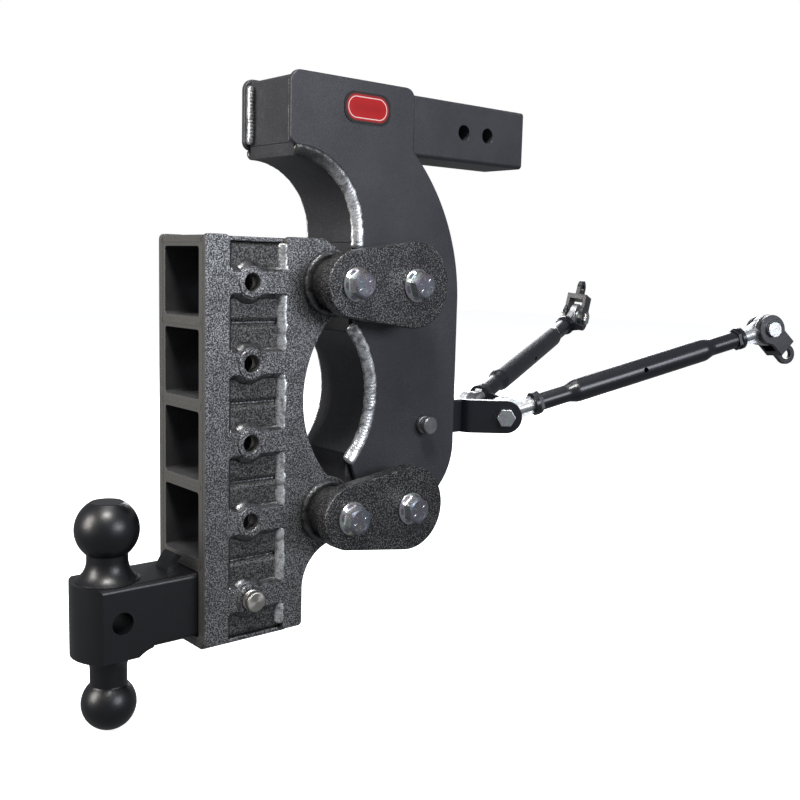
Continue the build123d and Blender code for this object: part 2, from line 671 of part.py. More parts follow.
# ---- stabilizer: tube, fork, pin, clip ----------------------------------------------------
STAB_START = 252.0
STAB_END = 350.0
FORK_THICK = 9.5
FORK_WIDTH = 38.1
FORK_WEB = 23.0         # half length of the fork's web
FORK_SPREAD = 40.0      # degrees each leg leans outwards
FORK_LEG = 64.0
FORK_HOLE_R = 6.6

with BuildPart() as stabilizer_tube:
    with BuildSketch(Plane.YZ.offset(FRONT + STAB_START)):
        with Locations((0, LOW + STAB_Z)):
            RectangleRounded(STAB_TUBE, STAB_TUBE, 3)
            RectangleRounded(STAB_TUBE - 9.6, STAB_TUBE - 9.6, 1.5, mode=Mode.SUBTRACT)
    extrude(amount=STAB_END - STAB_START)
    with BuildSketch(side(STAB_TUBE)):
        with Locations((STAB_X, STAB_Z)):
            Circle(PIN_HOLE / 2)
    extrude(amount=2 * STAB_TUBE, mode=Mode.SUBTRACT)
save(stabilizer_tube.part, "stabilizer_tube")

spread = radians(FORK_SPREAD)
fork_x = FRONT + STAB_END
fork_z = LOW + STAB_Z
knee = (fork_x + FORK_THICK / 2, -FORK_WEB)
toe = (knee[0] + FORK_LEG * cos(spread), knee[1] - FORK_LEG * sin(spread))
hole_along = FORK_LEG - FORK_WIDTH / 2
bolt_root = (knee[0] + hole_along * cos(spread), knee[1] - hole_along * sin(spread))


def leg_plane(sign):
    """Plane of a fork leg at its bolt: z points inwards along the bolt, x along the leg."""
    return Plane(
        origin=(bolt_root[0], -sign * bolt_root[1], fork_z),
        x_dir=(cos(spread), sign * sin(spread), 0),
        z_dir=(sin(spread), -sign * cos(spread), 0),
    )


with BuildPart() as stabilizer_fork:
    with BuildSketch(Plane.XY.offset(fork_z - FORK_WIDTH / 2)):
        with BuildLine() as path:
            FilletPolyline(toe, knee, (knee[0], -knee[1]), (toe[0], -toe[1]), radius=14)
        trace(path.line, line_width=FORK_THICK)
    extrude(amount=FORK_WIDTH)
    for sign in (-1, 1):
        tip = leg_plane(sign)
        with BuildSketch(tip.offset(-20)):
            with Locations((FORK_WIDTH / 4, 0)):
                Rectangle(FORK_WIDTH / 2, FORK_WIDTH + 2)
            Circle(FORK_WIDTH / 2, mode=Mode.SUBTRACT)
        extrude(amount=40, mode=Mode.SUBTRACT)
        with BuildSketch(tip.offset(-20)):
            Circle(FORK_HOLE_R)
        extrude(amount=40, mode=Mode.SUBTRACT)
save(stabilizer_fork.part, "stabilizer_fork")

PIN_TIP = FACE + 14
with BuildPart() as stabilizer_pin:
    with BuildSketch(Plane(origin=(FRONT + STAB_X, 0, LOW + STAB_Z), x_dir=(1, 0, 0), z_dir=(0, 0, 1))):
        with BuildLine():
            Polyline(
                (0, PIN_TIP), (PIN_R - 2, PIN_TIP), (PIN_R, PIN_TIP - 2), (PIN_R, -FACE - 0.5),
                (9.5, -FACE - 0.5), (9.5, -FACE - 4), (PIN_R - 1, -FACE - 5), (PIN_R - 1, -FACE - 8),
                (9.5, -FACE - 9), (9.5, -FACE - 13), (8.5, -FACE - 14), (0, -FACE - 14), (0, PIN_TIP),
            )
        make_face()
    revolve(axis=Axis((FRONT + STAB_X, 0, LOW + STAB_Z), (0, 1, 0)))
    with BuildSketch(Plane.XY.offset(LOW + STAB_Z - 12)):
        with Locations((FRONT + STAB_X, PIN_TIP - 6)):
            Circle(1.6)
    extrude(amount=24, mode=Mode.SUBTRACT)
save(stabilizer_pin.part, "stabilizer_pin")

CLIP_R = 1.2
CLIP_LOOP_R = 5.5
clip_plane = Plane(origin=(FRONT + STAB_X, PIN_TIP - 6, LOW + STAB_Z), x_dir=(0, 1, 0), z_dir=(1, 0, 0))
with BuildPart() as pin_clip:
    with BuildLine(clip_plane) as wire:
        back_leg = 2 * CLIP_LOOP_R
        Line((0, -12), (0, 22))
        CenterArc((CLIP_LOOP_R, 22), CLIP_LOOP_R, 180, -180)
        Spline((back_leg, 22), (back_leg + 0.8, 9), (9.6, 0), (11.5, -10), tangents=((0, -1), (0.4, -1)))
    with BuildSketch(Plane(origin=wire.line @ 0, z_dir=wire.line % 0)):
        Circle(CLIP_R)
    sweep(path=wire.line)
save(pin_clip.part, "pin_clip")

# ---- stabilizer: fork bolts, spacers and nuts ---------------------------------------------
BALL_HALF = 10.0        # half width of a rod end's ball
SPACER = 12.0
FORK_BOLT_R = 6.3
FORK_BOLT_AF = 19.0
FORK_BOLT_HEAD = 8.0
SPACER_BORE_R = FORK_BOLT_R + 0.02
SWIVEL = FORK_THICK / 2 + SPACER + BALL_HALF    # ball centre, along the bolt from the leg's middle


def turned(plane, pieces):
    """Revolve a (radius, height) outline about a plane's z axis."""
    with BuildPart() as body:
        with BuildSketch(Plane(origin=plane.origin, x_dir=plane.x_dir, z_dir=-plane.y_dir)):
            with BuildLine():
                Polyline(*pieces, close=True)
            make_face()
        revolve(axis=Axis(plane.origin, plane.z_dir))
    return body.part


def hex_piece(plane, low, high, bore_r=None):
    """Bolt head or nut along a plane's z axis."""
    with BuildPart() as body:
        with BuildSketch(plane.offset(low)):
            RegularPolygon(FORK_BOLT_AF / 2, 6, major_radius=False)
            if bore_r:
                Circle(bore_r, mode=Mode.SUBTRACT)
        extrude(amount=high - low)
    return body.part


fork_bolts = []
fork_spacers = []
fork_nuts = []
for sign in (-1, 1):
    leg = leg_plane(sign)
    low = FORK_THICK / 2
    top = SWIVEL + BALL_HALF
    nut_at = top + 5
    shaft = turned(leg, [(0, -low - 2), (FORK_BOLT_R, -low - 2), (FORK_BOLT_R, nut_at + 12),
                         (FORK_BOLT_R - 1, nut_at + 13), (0, nut_at + 13)])
    fork_bolts.append(shaft + hex_piece(leg, -low - FORK_BOLT_HEAD, -low))
    fork_spacers.append(turned(leg, [(SPACER_BORE_R, low), (11, low), (11, low + 3), (8, low + 5),
                                     (8, low + SPACER), (SPACER_BORE_R, low + SPACER)]))
    fork_spacers.append(turned(leg, [(SPACER_BORE_R, top), (8, top), (8, top + 2), (10.5, top + 3.5),
                                     (10.5, nut_at), (SPACER_BORE_R, nut_at)]))
    fork_nuts.append(hex_piece(leg, nut_at, nut_at + 8, SPACER_BORE_R))
group(fork_bolts, "fork_bolts")
group(fork_spacers, "fork_spacers")
group(fork_nuts, "fork_nuts")

# ---- stabilizer arms ----------------------------------------------------------------------
ARM = 386.0             # ball centre to ball centre, screwed right in
ARM_YAW = radians(20)
ARM_RISE = radians(15)
SWIVEL_R = 14.0
SEAT_R = SWIVEL_R + 0.05
EYE_R = 20.0
EYE_HALF = 5.0
THREAD_R = 7.9
NUT_FROM = 40.0         # inner jam nut, from the ball centre
TUBE_FROM = 50.3
ARM_TUBE_R = 14.3
ARM_NECK_R = 10.8


def arm_plane(sign):
    """Plane at the inner ball centre: x along the arm, z along the eye's own axis."""
    leg = leg_plane(sign)
    centre = leg.origin + leg.z_dir * SWIVEL
    along = Vector(cos(ARM_RISE) * cos(ARM_YAW), sign * cos(ARM_RISE) * sin(ARM_YAW), sin(ARM_RISE))
    eye = leg.z_dir - along * along.dot(leg.z_dir)
    return Plane(origin=centre, x_dir=along, z_dir=eye.normalized())


def swivel_ball(plane):
    """Ball with flat ends and a bolt hole, on a plane whose z is the hole."""
    with BuildPart() as body:
        with BuildSketch(Plane(origin=plane.origin, x_dir=plane.x_dir, z_dir=-plane.y_dir)):
            Circle(SWIVEL_R)
            with Locations((SWIVEL_R / 2 + 6.3, 0)):
                Rectangle(SWIVEL_R, 2 * BALL_HALF, mode=Mode.INTERSECT)
        revolve(axis=Axis(plane.origin, plane.z_dir))
    return body.part


def rod_end(length):
    """Forged eye at the origin with a threaded shank along +X."""
    with BuildPart() as body:
        with BuildSketch(Plane.XY.offset(-EYE_HALF)):
            Circle(EYE_R)
        extrude(amount=2 * EYE_HALF)
        fillet(body.edges(), 1.5)
        with BuildSketch(Plane.XY):
            with BuildLine():
                Polyline((6, 0), (6, 17), (20, 12.5), (NUT_FROM - 6, THREAD_R + 0.6),
                         (NUT_FROM - 2, THREAD_R + 2.6), (NUT_FROM - 2, 0), close=True)
            make_face()
            mirror(about=Plane.XZ)
        extrude(amount=4.2, both=True)
        with BuildSketch(Plane.YZ.offset(16)):
            Circle(THREAD_R)
        extrude(amount=length - 16)
        Sphere(SEAT_R, mode=Mode.SUBTRACT)
    return body.part


def jam_nut(near_x):
    """Thin round nut with one wing to turn it by, on a shank along X."""
    with BuildPart() as body:
        with BuildSketch(Plane.YZ.offset(near_x)):
            Circle(14)
            Circle(THREAD_R + 0.05, mode=Mode.SUBTRACT)
        extrude(amount=5)
        with BuildSketch(Plane.YZ.offset(near_x + 5)):
            RegularPolygon(12, 6, major_radius=False)
            Circle(THREAD_R + 0.05, mode=Mode.SUBTRACT)
        extrude(amount=5)
        with BuildSketch(Plane.YZ.offset(near_x)):
            with BuildLine():
                Polyline((-7, 11), (-3.5, 25))
                ThreePointArc((-3.5, 25), (0, 28), (3.5, 25))
                Polyline((3.5, 25), (7, 11), (-7, 11))
            make_face()
        extrude(amount=3)
    return body.part


tube_to = ARM - TUBE_FROM
with BuildPart() as arm_tube:
    with BuildSketch(Plane.XZ):
        with BuildLine():
            Polyline((tube_to, ARM_NECK_R), (tube_to, THREAD_R + 0.05), (TUBE_FROM, THREAD_R + 0.05),
                     (TUBE_FROM, ARM_NECK_R), (TUBE_FROM + 34, ARM_NECK_R))
            Spline((TUBE_FROM + 34, ARM_NECK_R), (TUBE_FROM + 52, ARM_TUBE_R), tangents=((1, 0), (1, 0)))
            Line((TUBE_FROM + 52, ARM_TUBE_R), (tube_to - 52, ARM_TUBE_R))
            Spline((tube_to - 52, ARM_TUBE_R), (tube_to - 34, ARM_NECK_R), tangents=((1, 0), (1, 0)))
            Line((tube_to - 34, ARM_NECK_R), (tube_to, ARM_NECK_R))
        make_face()
    revolve(axis=Axis.X)
    with BuildSketch(Plane.XY.offset(-20)):
        with Locations((ARM / 2, 0)):
            Circle(3.2)
    extrude(amount=40, mode=Mode.SUBTRACT)

# Outer clamp: two round cheeks on the outer ball, joined by an ear plate with a hole.
with BuildPart() as clamp:
    for low in (BALL_HALF, -BALL_HALF - 5):
        with BuildSketch(Plane.XY.offset(low)):
            Circle(19)
            with Locations((17, 0)):
                Rectangle(34, 26)
            Circle(6.4, mode=Mode.SUBTRACT)
        extrude(amount=5)
    with BuildSketch(Plane.YZ.offset(26)):
        Rectangle(26, 2 * BALL_HALF)
    extrude(amount=8)
    with BuildSketch(Plane.XY.offset(-3)):
        with BuildLine():
            Polyline((34, 13), (34, -13), (44, -13))
            ThreePointArc((44, -13), (57, 0), (44, 13))
            Line((44, 13), (34, 13))
        make_face()
        with Locations((44, 0)):
            Circle(6.5, mode=Mode.SUBTRACT)
    extrude(amount=6)

with BuildPart() as clamp_pin:
    with BuildSketch(Plane.XY.offset(-BALL_HALF - 8)):
        Circle(6.3)
    extrude(amount=2 * BALL_HALF + 18)
    with BuildSketch(Plane.XY.offset(-BALL_HALF - 10)):
        Circle(9.5)
    extrude(amount=5)
    with BuildSketch(Plane.XY.offset(BALL_HALF + 5.5)):
        RegularPolygon(9, 6, major_radius=False)
    extrude(amount=4)

inner_end = rod_end(105)
inner_nut = jam_nut(NUT_FROM)
flip = Location((ARM, 0, 0), (0, 0, 180))
CLAMP_TURN = 60         # degrees the outer clamps are turned from the arm
for sign, name in ((-1, "near"), (1, "far")):
    plane = arm_plane(sign)
    leg = leg_plane(sign)
    placed = plane.location
    outer = placed * Location((ARM, 0, 0), (0, 0, CLAMP_TURN))
    save(swivel_ball(Plane(origin=plane.origin, x_dir=leg.x_dir, z_dir=leg.z_dir)), f"arm_ball_{name}")
    save(inner_end.moved(placed), f"inner_rod_end_{name}")
    save(arm_tube.part.moved(placed), f"arm_tube_{name}")
    save(inner_end.moved(placed * flip), f"outer_rod_end_{name}")
    group([inner_nut.moved(placed), inner_nut.moved(placed * flip)], f"arm_jam_nuts_{name}")
    group([swivel_ball(Plane.XY).moved(outer), clamp_pin.part.moved(outer)], f"clamp_pin_{name}")
    save(clamp.part.moved(outer), f"clamp_{name}")
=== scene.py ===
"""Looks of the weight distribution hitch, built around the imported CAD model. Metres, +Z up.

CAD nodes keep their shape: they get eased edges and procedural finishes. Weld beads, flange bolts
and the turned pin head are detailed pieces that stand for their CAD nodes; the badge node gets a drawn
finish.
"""
from math import atan2, cos, degrees, pi, radians, sin, tan

import bpy
from mathutils import Matrix, Vector, noise


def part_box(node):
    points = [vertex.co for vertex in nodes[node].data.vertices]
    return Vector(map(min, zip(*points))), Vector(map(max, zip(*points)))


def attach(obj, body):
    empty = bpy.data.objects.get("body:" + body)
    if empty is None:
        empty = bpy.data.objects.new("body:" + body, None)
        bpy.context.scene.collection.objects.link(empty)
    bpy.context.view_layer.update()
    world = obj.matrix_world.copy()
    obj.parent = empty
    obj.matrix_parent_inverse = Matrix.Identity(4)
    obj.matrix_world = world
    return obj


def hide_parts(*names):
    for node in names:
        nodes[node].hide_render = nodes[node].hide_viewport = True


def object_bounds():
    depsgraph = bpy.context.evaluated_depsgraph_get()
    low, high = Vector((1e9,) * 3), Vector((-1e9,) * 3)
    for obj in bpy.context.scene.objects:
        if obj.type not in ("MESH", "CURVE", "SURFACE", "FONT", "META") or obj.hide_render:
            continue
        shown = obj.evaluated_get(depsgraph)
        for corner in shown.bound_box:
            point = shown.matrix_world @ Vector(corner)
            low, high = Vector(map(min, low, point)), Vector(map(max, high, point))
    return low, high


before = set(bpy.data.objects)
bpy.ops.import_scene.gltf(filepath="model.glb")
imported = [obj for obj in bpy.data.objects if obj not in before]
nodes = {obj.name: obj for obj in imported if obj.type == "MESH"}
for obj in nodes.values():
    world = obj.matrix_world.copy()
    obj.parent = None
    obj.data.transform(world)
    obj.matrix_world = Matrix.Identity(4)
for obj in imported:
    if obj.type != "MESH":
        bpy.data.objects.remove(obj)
cad_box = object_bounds()

# ---- sizes shared with the CAD, in metres -------------------------------------------------
FRONT = -0.364              # front face of the receiver stack
LOW = -0.470                # centre of the lowest receiver
PITCH = 0.0762
RECEIVERS = 5
HALF = 0.0381               # inner face of the side plates
FACE = 0.04445              # outer face of the side plates
PIN_X = 0.0493
WINDOW_FRONT = 0.0254
WINDOW_BACK = 0.088
BAR_HALF = 0.0103
RING_R = 0.0154
STACK_TOP = 0.3485
STACK_FOOT = -0.039
AXLE_R = 0.0254
AXLE_Z = (0.0762, 0.3048)
STACK_AXLE_X = 0.139
FRAME_AXLE_X = 0.2152
LINK_OUTER = 0.088          # outer face of the links, where the bolt flanges sit
UPPER_ARC = (0.1005, 0.356, 0.079)      # centre and radius of the frame's upper hollow
LOWER_ARC = (0.096, 0.193, 0.105)


def spot(x, y, z):
    """Point at a distance behind the stack's front face and a height over the lowest receiver's middle."""
    return Vector((FRONT + x, y, LOW + z))


# ---- camera -------------------------------------------------------------------------------
CAMERA_AT = Vector((-0.83756, -0.87036, -0.14734))
CAMERA_YAW = radians(40.602)
CAMERA_PITCH = radians(-7.337)
CAMERA_ROLL = radians(1.499)
CAMERA_LENS = 46.45


def add_camera():
    forward = Vector((sin(CAMERA_YAW) * cos(CAMERA_PITCH), cos(CAMERA_YAW) * cos(CAMERA_PITCH),
                      sin(CAMERA_PITCH)))
    level = Vector((cos(CAMERA_YAW), -sin(CAMERA_YAW), 0))
    upright = level.cross(forward)
    right = level * cos(CAMERA_ROLL) + upright * sin(CAMERA_ROLL)
    top = upright * cos(CAMERA_ROLL) - level * sin(CAMERA_ROLL)
    camera = bpy.data.objects.new("camera", bpy.data.cameras.new("camera"))
    camera.data.lens = CAMERA_LENS
    camera.data.sensor_width = 36
    turn = Matrix((right, top, -forward)).transposed().to_4x4()
    camera.matrix_world = Matrix.Translation(CAMERA_AT) @ turn
    bpy.context.scene.collection.objects.link(camera)
    bpy.context.scene.camera = camera


# ---- light and floor ----------------------------------------------------------------------
def add_area_light(name, at, aim, size, watts, colour):
    light = bpy.data.objects.new(name, bpy.data.lights.new(name, "AREA"))
    light.data.shape = "RECTANGLE"
    light.data.size, light.data.size_y = size
    light.data.energy = watts
    light.data.color = colour
    light.location = at
    light.rotation_euler = (Vector(aim) - Vector(at)).to_track_quat("-Z", "Y").to_euler()
    bpy.context.scene.collection.objects.link(light)


ROOM_LIGHT = 0.20           # the white room's share of the light, from every side


def add_studio():
    target = (-0.15, 0, -0.25)
    add_area_light("key", (-0.9, -1.0, 2.0), target, (0.6, 0.6), 70, (1.0, 0.985, 0.96))
    add_area_light("side", (0.3, -2.4, 0.35), target, (1.2, 0.8), 30, (0.88, 0.92, 1.0))
    add_area_light("top", (0.0, 0.4, 2.2), target, (1.2, 1.2), 14, (1.0, 1.0, 1.0))
    add_area_light("front", (-2.2, 0.3, 0.5), target, (0.8, 1.2), 42, (1.0, 0.96, 0.90))
    add_area_light("back", (1.9, 1.7, 0.6), target, (1.5, 1.2), 36, (0.95, 0.97, 1.0))

    world = bpy.data.worlds.new("studio")
    world.use_nodes = True
    bpy.context.scene.world = world
    tree = world.node_tree
    backdrop = tree.nodes["Background"]
    backdrop.inputs["Color"].default_value = (1, 1, 1, 1)
    backdrop.inputs["Strength"].default_value = 1.0
    room = tree.nodes.new("ShaderNodeBackground")
    room.inputs["Color"].default_value = (0.92, 0.95, 1.0, 1)
    room.inputs["Strength"].default_value = ROOM_LIGHT
    ray = tree.nodes.new("ShaderNodeLightPath")
    mix = tree.nodes.new("ShaderNodeMixShader")
    tree.links.new(ray.outputs["Is Camera Ray"], mix.inputs[0])
    tree.links.new(room.outputs[0], mix.inputs[1])
    tree.links.new(backdrop.outputs[0], mix.inputs[2])
    tree.links.new(mix.outputs[0], tree.nodes["World Output"].inputs["Surface"])
    bpy.context.scene.view_settings.view_transform = "Standard"


FLOOR_HALF = 7.0
FLOOR_GAP = 0.0005          # between the floor and the hitch's lowest point


def add_floor():
    half = FLOOR_HALF
    low = cad_box[0][2] - FLOOR_GAP
    mesh = bpy.data.meshes.new("floor")
    mesh.from_pydata([(-half, -half, low), (half, -half, low), (half, half, low), (-half, half, low)], [],
                     [(0, 1, 2, 3)])
    floor = bpy.data.objects.new("floor", mesh)
    bpy.context.scene.collection.objects.link(floor)
    finish = Finish("floor")
    glow = 1.0 - 0.95 * ROOM_LIGHT - 0.02       # what the lights leave short of white
    finish.set(roughness=0.9, specular_ior_level=0.0, emission_color=(1, 1, 1, 1), emission_strength=glow)
    finish.colour(finish.ramp(finish.noise(0.12, 3), (0.3, 0.94), (0.7, 0.96)))
    mesh.materials.append(finish.material)
    floor.visible_diffuse = False
    floor.visible_glossy = False


# ---- finishes -----------------------------------------------------------------------------
class Finish:
    """A Principled material built from object coordinates, so patterns have real sizes."""

    def __init__(self, name):
        self.material = bpy.data.materials.new(name)
        self.material.use_nodes = True
        self.tree = self.material.node_tree
        self.shader = self.tree.nodes["Principled BSDF"]
        self.place = self.node("ShaderNodeTexCoord").outputs["Object"]

    def node(self, kind, **settings):
        made = self.tree.nodes.new(kind)
        for key, value in settings.items():
            setattr(made, key, value)
        return made

    def link(self, source, target):
        self.tree.links.new(source, target)

    def set(self, **values):
        """Uniform shader values, by socket name in lower case with underscores."""
        for key, value in values.items():
            self.shader.inputs[key.replace("_", " ").title().replace("Ior", "IOR")].default_value = value

    def noise(self, size, detail=2.0):
        """Noise with features about size metres across."""
        made = self.node("ShaderNodeTexNoise")
        made.inputs["Scale"].default_value = 1 / size
        made.inputs["Detail"].default_value = detail
        self.link(self.place, made.inputs["Vector"])
        return made.outputs["Fac"]

    def ramp(self, value, *stops):
        made = self.node("ShaderNodeValToRGB")
        elements = made.color_ramp.elements
        while len(elements) < len(stops):
            elements.new(0.5)
        for element, (position, colour) in zip(elements, stops):
            element.position = position
            tone = colour if isinstance(colour, tuple) else (colour, colour, colour)
            element.color = (*tone, 1)
        self.link(value, made.inputs["Fac"])
        return made.outputs["Color"]

    def mix(self, factor, first, second, blend="MIX"):
        made = self.node("ShaderNodeMix", data_type="RGBA", blend_type=blend)
        for value, socket in ((factor, made.inputs[0]), (first, made.inputs[6]), (second, made.inputs[7])):
            if isinstance(value, bpy.types.NodeSocket):
                self.link(value, socket)
            elif socket.type == "VALUE":
                socket.default_value = value
            else:
                tone = value if isinstance(value, tuple) else (value, value, value)
                socket.default_value = (*tone, 1)
        return made.outputs[2]

    def calc(self, operation, first, second=0.0):
        made = self.node("ShaderNodeMath", operation=operation)
        for value, socket in zip((first, second), made.inputs):
            if isinstance(value, bpy.types.NodeSocket):
                self.link(value, socket)
            else:
                socket.default_value = value
        return made.outputs[0]

    def facing(self, axis):
        """1 on faces that look along the axis, either way, and 0 on the others."""
        normal = self.node("ShaderNodeTexCoord").outputs["Normal"]
        parts = self.node("ShaderNodeSeparateXYZ")
        self.link(normal, parts.inputs[0])
        return self.calc("GREATER_THAN", self.calc("ABSOLUTE", parts.outputs["xyz".index(axis)]), 0.8)

    def colour(self, socket):
        self.link(socket, self.shader.inputs["Base Color"])

    def rough(self, value, low, high):
        """Roughness from low to high as value goes from 0 to 1."""
        made = self.node("ShaderNodeMapRange")
        made.inputs["To Min"].default_value = low
        made.inputs["To Max"].default_value = high
        self.link(value, made.inputs["Value"])
        self.link(made.outputs["Result"], self.shader.inputs["Roughness"])

    def metal(self, value):
        self.link(value, self.shader.inputs["Metallic"])

    def bump(self, height, depth, strength=1.0):
        """Relief of depth metres, over any relief given before."""
        made = self.node("ShaderNodeBump")
        made.inputs["Strength"].default_value = strength
        made.inputs["Distance"].default_value = depth
        self.link(height, made.inputs["Height"])
        normal = self.shader.inputs["Normal"]
        if normal.is_linked:
            self.link(normal.links[0].from_socket, made.inputs["Normal"])
        self.link(made.outputs["Normal"], normal)


SAWN_DARK = (0.085, 0.084, 0.080)       # the smooth coat on sawn front edges
SAWN_LIGHT = (0.190, 0.187, 0.179)


def hammered_paint(name, grain, dark, vein, bright, tint, smooth_fronts=False):
    """Powder coat that shrinks into dark pits in a silver net; on sawn front edges it lies smooth."""
    finish = Finish(name)
    pits = finish.noise(grain, 1.5)
    drift = finish.noise(grain * 14, 2)
    net = finish.ramp(pits, (0.40, dark), (0.50, vein), (0.64, bright))
    net = finish.mix(1.0, net, tint, "MULTIPLY")
    net = finish.mix(1.0, net, finish.ramp(drift, (0.3, 0.72), (0.7, 1.0)), "MULTIPLY")
    relief = pits
    if smooth_fronts:
        fine = finish.ramp(finish.noise(grain * 0.6, 1), (0.3, SAWN_DARK), (0.7, SAWN_LIGHT))
        front = finish.facing("x")
        net = finish.mix(front, net, fine)
        relief = finish.mix(front, pits, 0.5)
    finish.colour(net)
    finish.metal(finish.ramp(relief, (0.42, 0.30), (0.60, 0.80)))
    finish.rough(pits, 0.48, 0.30)
    finish.bump(relief, grain * 0.30)
    finish.set(coat_weight=0.1, coat_roughness=0.3)
    return finish.material


def receiver_paint():
    """The hammered coat outside the tubes, smooth on their sawn ends; inside the bores a near-black matte
    colour that is painted shade.
    """
    finish = Finish("receiver_paint")
    pits = finish.noise(0.0013, 1.5)
    net = finish.ramp(pits, (0.40, 0.012), (0.50, 0.055), (0.66, 0.17))
    fine = finish.ramp(finish.noise(0.0008, 1), (0.3, SAWN_DARK), (0.7, SAWN_LIGHT))
    front = finish.facing("x")
    side = finish.node("ShaderNodeSeparateXYZ")
    finish.link(finish.place, side.inputs[0])
    width = finish.calc("ABSOLUTE", side.outputs[1])
    shaded_bore = finish.calc("LESS_THAN", width, HALF - 0.004)
    # painted shade: the tube bores get a near-black colour where shade falls inside them
    dull = finish.ramp(finish.noise(0.02, 3), (0.3, (0.018, 0.018, 0.020)), (0.7, (0.030, 0.030, 0.033)))
    finish.colour(finish.mix(front, finish.mix(shaded_bore, net, dull), fine))
    hidden = finish.calc("MULTIPLY", shaded_bore, finish.calc("SUBTRACT", 1.0, front))
    finish.metal(finish.calc("MULTIPLY", finish.calc("SUBTRACT", 1.0, hidden), 0.5))
    finish.rough(hidden, 0.42, 0.78)
    finish.bump(finish.mix(front, pits, 0.5), 0.0003)
    return finish.material


def satin_paint():
    """Fine powder coat of the shank frame: dark blue-grey with a light orange peel."""
    finish = Finish("frame_paint")
    peel = finish.noise(0.0011, 2)
    cloud = finish.noise(0.05, 3)
    fleck = finish.noise(0.0006, 1)
    base = finish.ramp(cloud, (0.3, (0.043, 0.044, 0.051)), (0.7, (0.058, 0.059, 0.067)))
    sparkle = finish.ramp(fleck, (0.55, 0.75), (0.72, 2.4))
    finish.colour(finish.mix(1.0, base, sparkle, "MULTIPLY"))
    finish.set(metallic=0.35)
    finish.rough(peel, 0.52, 0.38)
    finish.bump(peel, 0.00022)
    return finish.material


def black_paint(name, tone, grain, relief, rough_low, rough_high):
    finish = Finish(name)
    peel = finish.noise(grain, 2)
    cloud = finish.noise(0.03, 3)
    dark = tuple(0.72 * c for c in tone)
    finish.colour(finish.ramp(cloud, (0.3, dark), (0.7, tone)))
    finish.rough(peel, rough_low, rough_high)
    finish.bump(peel, relief)
    finish.set(coat_weight=0.25, coat_roughness=0.3)
    return finish.material


def zinc_plate(name, face_shade=1.0):
    """Bright zinc with a faint blue, violet and straw bloom; face_shade darkens a bolt head's flat face."""
    finish = Finish(name)
    bloom = finish.noise(0.011, 2)
    dull = finish.noise(0.0016, 3)
    tone = finish.ramp(bloom, (0.30, (0.50, 0.62, 0.64)), (0.45, (0.74, 0.80, 0.78)),
                       (0.58, (0.66, 0.62, 0.72)), (0.72, (0.78, 0.78, 0.60)))
    face = finish.ramp(bloom, (0.36, (0.30, 0.32, 0.58)), (0.64, (0.46, 0.38, 0.50)))
    face = finish.mix(1.0, face, face_shade, "MULTIPLY")
    tone = finish.mix(finish.calc("MULTIPLY", finish.facing("y"), 1.0 - face_shade), tone, face)
    finish.colour(finish.mix(1.0, tone, finish.ramp(dull, (0.3, 0.8), (0.7, 1.0)), "MULTIPLY"))
    finish.set(metallic=0.95)
    finish.rough(dull, 0.20, 0.38)
    finish.bump(dull, 0.00006)
    return finish.material


def forged_zinc():
    finish = Finish("forged_zinc")
    lumps = finish.noise(0.004, 3)
    grit = finish.noise(0.0008, 2)
    finish.colour(finish.ramp(lumps, (0.3, (0.42, 0.43, 0.44)), (0.7, (0.66, 0.67, 0.68))))
    finish.set(metallic=0.9)
    finish.rough(grit, 0.30, 0.48)
    finish.bump(lumps, 0.0003)
    finish.bump(grit, 0.00008)
    return finish.material


def turned_steel():
    """Stainless, turned: fine rings round the piece's own Y axis."""
    finish = Finish("turned_steel")
    flat = finish.node("ShaderNodeVectorMath", operation="MULTIPLY")
    flat.inputs[1].default_value = (1, 0, 1)
    finish.link(finish.place, flat.inputs[0])
    radius = finish.node("ShaderNodeVectorMath", operation="LENGTH")
    finish.link(flat.outputs[0], radius.inputs[0])
    rings = finish.node("ShaderNodeTexNoise", noise_dimensions="1D")
    rings.inputs["Scale"].default_value = 1 / 0.00035
    rings.inputs["Detail"].default_value = 2
    finish.link(radius.outputs["Value"], rings.inputs["W"])
    tangent = finish.node("ShaderNodeTangent", direction_type="RADIAL", axis="Y")
    finish.link(tangent.outputs[0], finish.shader.inputs["Tangent"])
    finish.colour(finish.ramp(rings.outputs["Fac"], (0.3, (0.50, 0.48, 0.44)), (0.7, (0.72, 0.69, 0.64))))
    finish.set(metallic=1.0, anisotropic=0.75)
    finish.rough(rings.outputs["Fac"], 0.24, 0.36)
    finish.bump(rings.outputs["Fac"], 0.00004)
    return finish.material


GREY_FROM = LOW + 0.398     # the upper hollow's bead fades to dark grey above this height
GREY_FULL = LOW + 0.426
GREY_TO = LOW + 0.4385      # and the front cover's beads start above this one


def weld_metal(name, dark, bright):
    """Silver-flecked paint over a rippled weld, turning dark grey higher up the upper hollow."""
    finish = Finish(name)
    place = finish.node("ShaderNodeSeparateXYZ")
    finish.link(finish.place, place.inputs[0])
    grey_ramp = finish.node("ShaderNodeMapRange")
    grey_ramp.inputs["From Min"].default_value = GREY_FROM
    grey_ramp.inputs["From Max"].default_value = GREY_FULL
    finish.link(place.outputs[2], grey_ramp.inputs["Value"])
    below = finish.calc("LESS_THAN", place.outputs[2], GREY_TO)
    grey_share = finish.calc("MULTIPLY", grey_ramp.outputs["Result"], below)
    fleck = finish.noise(0.0008, 2)
    blotch = finish.noise(0.007, 3)
    tone = finish.ramp(fleck, (0.36, dark), (0.50, bright))
    tone = finish.mix(1.0, tone, finish.ramp(blotch, (0.34, 0.35), (0.52, 1.0)), "MULTIPLY")
    finish.colour(finish.mix(grey_share, tone, finish.ramp(fleck, (0.36, 0.05), (0.60, 0.14))))
    finish.set(metallic=0.75)
    finish.rough(blotch, 0.42, 0.26)
    finish.bump(fleck, 0.00012)
    return finish.material


